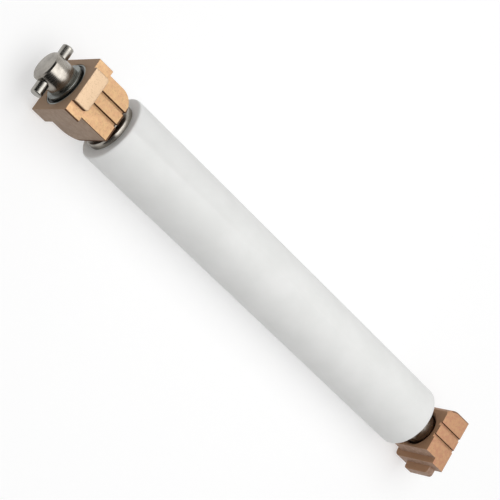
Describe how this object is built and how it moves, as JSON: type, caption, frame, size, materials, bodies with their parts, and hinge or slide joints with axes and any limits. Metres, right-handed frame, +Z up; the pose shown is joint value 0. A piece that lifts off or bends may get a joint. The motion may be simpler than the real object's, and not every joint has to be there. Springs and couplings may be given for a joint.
{
  "type": "platen roller",
  "caption": "Rubber-sleeved roller on a turned steel shaft with a cross pin, running in bronze bearing blocks.",
  "frame": {"origin": "on the roller's axis, in the plane of the drive block's outer face", "axes": "+X along the roller axis from the drive end to the idle end, +Z up, towards the raised pad"},
  "size_m": [0.162, 0.0192, 0.0184],
  "materials": {
    "turned_steel": "turned, satin bright",
    "ground_steel": "ground, bright",
    "ring_steel": "ground bearing steel, satin",
    "clip_steel": "stamped spring steel",
    "shield_steel": "dark pressed steel",
    "white_rubber": "fine ground, matte",
    "sintered_bronze": "sintered, matt, machined top",
    "cage_polymer": "moulded, natural"
  },
  "bodies": {
    "drive_housing": {"drive_block": "sintered_bronze", "drive_bearing_outer_ring": "ring_steel", "drive_bearing_outer_shield": "shield_steel", "drive_bearing_inner_shield": "shield_steel"},
    "roller": {"roller_shaft": "turned_steel", "roller_sleeve": "white_rubber", "cross_pin": "ground_steel", "drive_bearing_inner_ring": "ring_steel", "idle_bearing_inner_ring": "ring_steel", "drive_circlip": "clip_steel", "idle_circlip": "clip_steel", "idle_shim": "clip_steel", "idle_spacer": "turned_steel"},
    "drive_ball_set": {"drive_bearing_balls": "ground_steel", "drive_bearing_cage": "cage_polymer"},
    "idle_housing": {"idle_block": "sintered_bronze", "idle_bearing_outer_ring": "ring_steel", "idle_bearing_outer_shield": "shield_steel", "idle_bearing_inner_shield": "shield_steel"},
    "idle_ball_set": {"idle_bearing_balls": "ground_steel", "idle_bearing_cage": "cage_polymer"}
  },
  "joints": [
    {"name": "roller_spin", "type": "hinge", "parent": "drive_housing", "child": "roller", "pos_m": [0, 0, 0], "axis": [1, 0, 0], "continuous": true},
    {"name": "idle_block_spin", "type": "hinge", "parent": "roller", "child": "idle_housing", "pos_m": [0.1535, 0, 0], "axis": [1, 0, 0], "continuous": true},
    {"name": "drive_ball_set_spin", "type": "hinge", "parent": "drive_housing", "child": "drive_ball_set", "pos_m": [0, 0, 0], "axis": [1, 0, 0], "continuous": true},
    {"name": "idle_ball_set_spin", "type": "hinge", "parent": "roller", "child": "idle_ball_set", "pos_m": [0.1535, 0, 0], "axis": [1, 0, 0], "continuous": true}
  ],
  "couplings": [
    {"joint": "drive_ball_set_spin", "follows": "roller_spin", "ratio": 0.44},
    {"joint": "idle_ball_set_spin", "follows": "idle_block_spin", "ratio": 0.56}
  ]
}
